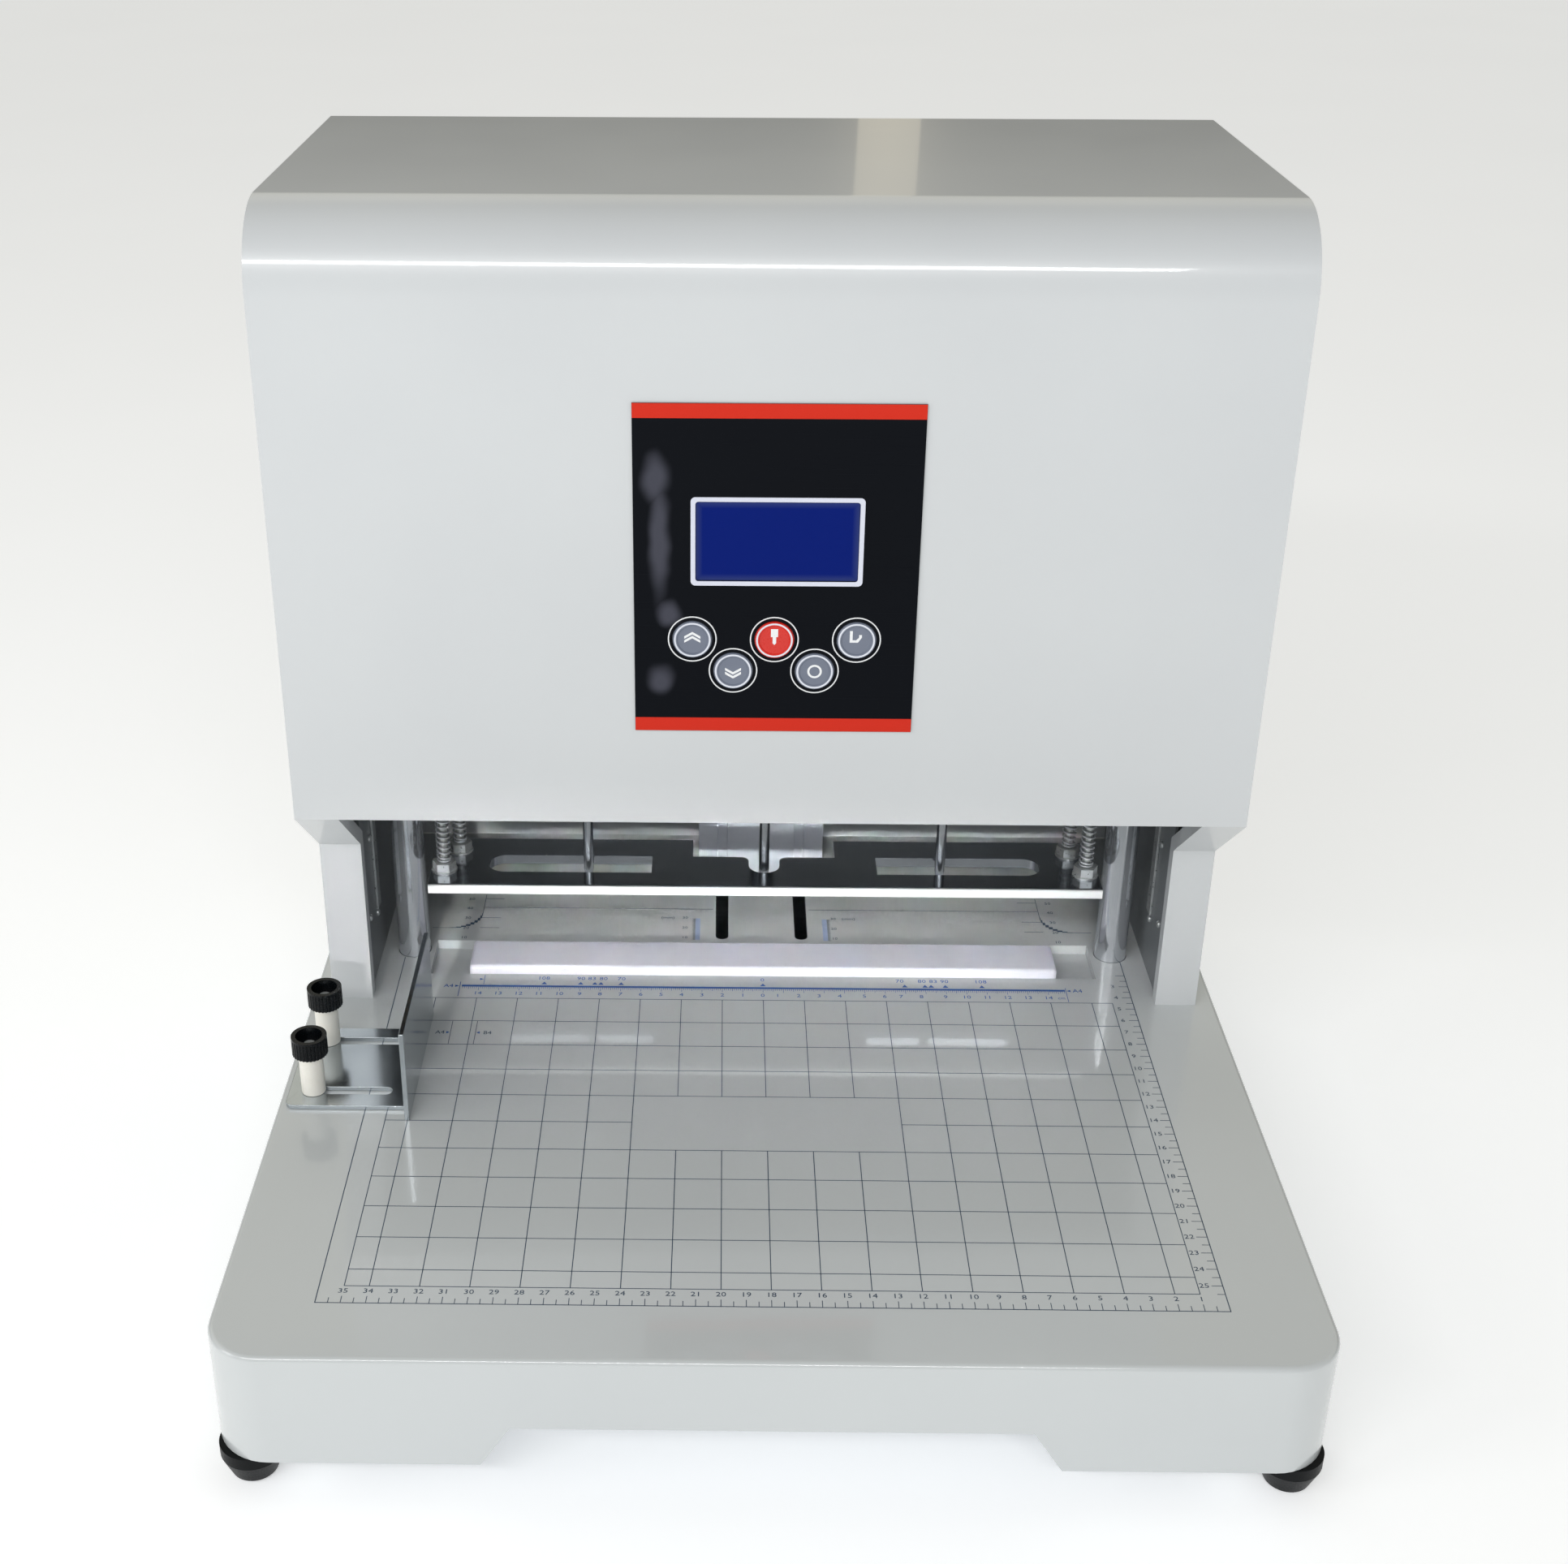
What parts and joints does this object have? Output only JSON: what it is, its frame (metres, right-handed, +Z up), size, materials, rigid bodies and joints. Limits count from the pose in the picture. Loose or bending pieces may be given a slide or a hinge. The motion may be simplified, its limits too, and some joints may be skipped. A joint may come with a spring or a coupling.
{
  "type": "paper drill",
  "caption": "Desk-top automatic paper drill: hollow bits on a lifting carriage, sprung press plate, ruled table, cutting stick, back stop, side guide and keypad.",
  "frame": {"origin": "on the floor under the middle of the base", "axes": "+X to the user's right, +Y away from the user, +Z up"},
  "size_m": [0.44, 0.43, 0.457],
  "materials": {
    "grey_paint": "gloss",
    "table_paint": "gloss",
    "dark_paint": "satin",
    "black_paint": "satin",
    "zinc_steel": "brushed",
    "tool_steel": "ground",
    "polished_steel": "polished",
    "chrome_rod": "polished",
    "aluminium_part": "milled",
    "red_aluminium": "anodised",
    "bronze": "turned",
    "black_rubber": "matt",
    "black_plastic": "matt",
    "white_nylon": "matt",
    "panel_film": "gloss",
    "white_trim": "gloss",
    "display_blue": "gloss",
    "board_green": "gloss",
    "silver_key": "gloss",
    "red_key": "gloss"
  },
  "bodies": {
    "frame": {"base_housing": "grey_paint", "bottom_cover": "zinc_steel", "feet": "black_rubber", "case_screws": "zinc_steel", "bed_plate": "table_paint", "head_shell": "grey_paint", "rear_cover": "grey_paint", "left_inner_wall": "dark_paint", "right_inner_wall": "dark_paint", "wall_strips": "zinc_steel", "wall_screws": "zinc_steel", "left_pillar": "chrome_rod", "right_pillar": "chrome_rod", "pillar_nuts": "zinc_steel", "top_plate": "dark_paint", "screw_bearing": "tool_steel", "motor_standoffs": "bronze", "lift_motor": "black_paint", "power_supply": "aluminium_part", "control_board": "board_green", "control_panel": "panel_film", "lcd_bezel": "white_trim", "lcd_display": "display_blue", "panel_board": "board_green", "guide_studs": "zinc_steel", "guide_bushes": "white_nylon", "power_inlet": "black_plastic"},
    "carriage": {"carriage_plate": "aluminium_part", "carriage_bushes": "bronze", "bolt_guides": "bronze", "lift_nut": "bronze", "slide_rails": "tool_steel", "center_block": "aluminium_part", "center_motor": "black_paint", "press_springs": "tool_steel"},
    "press": {"press_plate": "polished_steel", "plate_bolts": "zinc_steel"},
    "lift_screw": {"lead_screw": "tool_steel", "lift_coupling": "red_aluminium"},
    "left_drill": {"left_block": "aluminium_part", "left_motor": "black_paint"},
    "right_drill": {"right_block": "aluminium_part", "right_motor": "black_paint"},
    "left_spindle": {"left_spindle": "tool_steel", "left_bit": "tool_steel"},
    "center_spindle": {"center_spindle": "tool_steel", "center_bit": "tool_steel"},
    "right_spindle": {"right_spindle": "tool_steel", "right_bit": "tool_steel"},
    "up_button": {"up_button": "silver_key"},
    "down_button": {"down_button": "silver_key"},
    "drill_button": {"drill_button": "red_key"},
    "select_button": {"select_button": "silver_key"},
    "reset_button": {"reset_button": "silver_key"},
    "cutting_stick": {"cutting_stick": "white_nylon"},
    "back_stop": {"back_stop": "aluminium_part"},
    "side_guide": {"side_guide": "zinc_steel"},
    "front_cap": {"front_cap": "black_plastic"},
    "rear_cap": {"rear_cap": "black_plastic"},
    "power_switch": {"power_rocker": "red_key"}
  },
  "joints": [
    {"name": "carriage_lift", "type": "slide", "parent": "frame", "child": "carriage", "axis": [0, 0, -1], "range_m": [0, 0.0462]},
    {"name": "press_rise", "type": "slide", "parent": "carriage", "child": "press", "axis": [0, 0, 1], "range_m": [0, 0.036], "stiffness_N_per_m": 1500, "springref_m": -0.01, "deforming": ["press_springs"]},
    {"name": "lift_spin", "type": "hinge", "parent": "frame", "child": "lift_screw", "pos_m": [0, 0.116, 0.25], "axis": [0, 0, 1], "range_deg": [0, 3330]},
    {"name": "spacing_left", "type": "slide", "parent": "carriage", "child": "left_drill", "axis": [1, 0, 0], "range_m": [-0.022, 0.021]},
    {"name": "spacing_right", "type": "slide", "parent": "carriage", "child": "right_drill", "axis": [1, 0, 0], "range_m": [-0.021, 0.022]},
    {"name": "left_spin", "type": "hinge", "parent": "left_drill", "child": "left_spindle", "pos_m": [-0.086, 0.0717, 0.19], "axis": [0, 0, 1], "continuous": true},
    {"name": "center_spin", "type": "hinge", "parent": "carriage", "child": "center_spindle", "pos_m": [0, 0.0717, 0.19], "axis": [0, 0, 1], "continuous": true},
    {"name": "right_spin", "type": "hinge", "parent": "right_drill", "child": "right_spindle", "pos_m": [0.086, 0.0717, 0.19], "axis": [0, 0, 1], "continuous": true},
    {"name": "up_press", "type": "slide", "parent": "frame", "child": "up_button", "axis": [0, 1, 0], "range_m": [0, 0.0008], "stiffness_N_per_m": 800, "springref_m": -0.0003},
    {"name": "down_press", "type": "slide", "parent": "frame", "child": "down_button", "axis": [0, 1, 0], "range_m": [0, 0.0008], "stiffness_N_per_m": 800, "springref_m": -0.0003},
    {"name": "drill_press", "type": "slide", "parent": "frame", "child": "drill_button", "axis": [0, 1, 0], "range_m": [0, 0.0008], "stiffness_N_per_m": 800, "springref_m": -0.0003},
    {"name": "select_press", "type": "slide", "parent": "frame", "child": "select_button", "axis": [0, 1, 0], "range_m": [0, 0.0008], "stiffness_N_per_m": 800, "springref_m": -0.0003},
    {"name": "reset_press", "type": "slide", "parent": "frame", "child": "reset_button", "axis": [0, 1, 0], "range_m": [0, 0.0008], "stiffness_N_per_m": 800, "springref_m": -0.0003},
    {"name": "stick_shift", "type": "slide", "parent": "frame", "child": "cutting_stick", "axis": [1, 0, 0], "range_m": [-0.019, 0.019]},
    {"name": "back_stop_slide", "type": "slide", "parent": "frame", "child": "back_stop", "axis": [0, 1, 0], "range_m": [-0.05, 0.02]},
    {"name": "side_guide_slide", "type": "slide", "parent": "frame", "child": "side_guide", "axis": [1, 0, 0], "range_m": [-0.03, 0.002]},
    {"name": "front_cap_turn", "type": "hinge", "parent": "frame", "child": "front_cap", "pos_m": [-0.2049, -0.044, 0.092], "axis": [0, 0, 1], "range_deg": [0, 720]},
    {"name": "rear_cap_turn", "type": "hinge", "parent": "frame", "child": "rear_cap", "pos_m": [-0.2049, -0.0043, 0.092], "axis": [0, 0, 1], "range_deg": [0, 720]},
    {"name": "power_tip", "type": "hinge", "parent": "frame", "child": "power_switch", "pos_m": [-0.121, 0.2035, 0.113], "axis": [1, 0, 0], "range_deg": [0, 20]}
  ],
  "couplings": [
    {"joint": "lift_spin", "follows": "carriage_lift", "rad_per_m": 1256.6}
  ]
}
